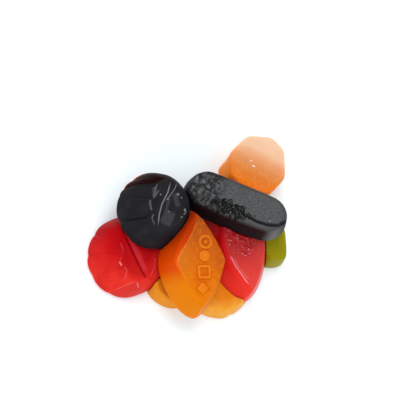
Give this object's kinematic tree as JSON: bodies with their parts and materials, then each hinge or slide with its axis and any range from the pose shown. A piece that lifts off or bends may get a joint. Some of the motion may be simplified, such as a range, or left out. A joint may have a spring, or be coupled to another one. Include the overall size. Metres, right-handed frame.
{
  "type": "heap of wine gums",
  "caption": "Small heap of moulded fruit wine gums in crown, lozenge, oblong, octagon and round shapes, lying on one another.",
  "frame": {"origin": "on the table top, under the middle of the heap's bounding box", "axes": "+Z up; seen from straight above with +Y up and +X to the right, the heap lies almost as in the picture"},
  "size_m": [0.054, 0.0504, 0.0175],
  "materials": {
    "black_crown": "moulded black gum, glossy, dark red where thin",
    "black_bar": "moulded black gum, satin with a glossy rough patch",
    "orange_lozenge": "translucent orange gum, satin",
    "red_lozenge": "translucent red gum, pebbled top",
    "red_crown": "translucent red gum, glossy",
    "pale_octagon": "translucent pale orange gum with a whitish bloom on top",
    "green_gum": "translucent olive green gum",
    "amber_crown": "translucent amber gum, satin",
    "amber_round": "translucent amber gum, satin"
  },
  "bodies": {
    "root": {"black_crown": "black_crown", "black_bar": "black_bar", "orange_lozenge": "orange_lozenge", "red_lozenge": "red_lozenge", "red_crown": "red_crown", "pale_octagon": "pale_octagon", "green_gum": "green_gum", "amber_crown": "amber_crown", "amber_round": "amber_round"}
  },
  "joints": []
}
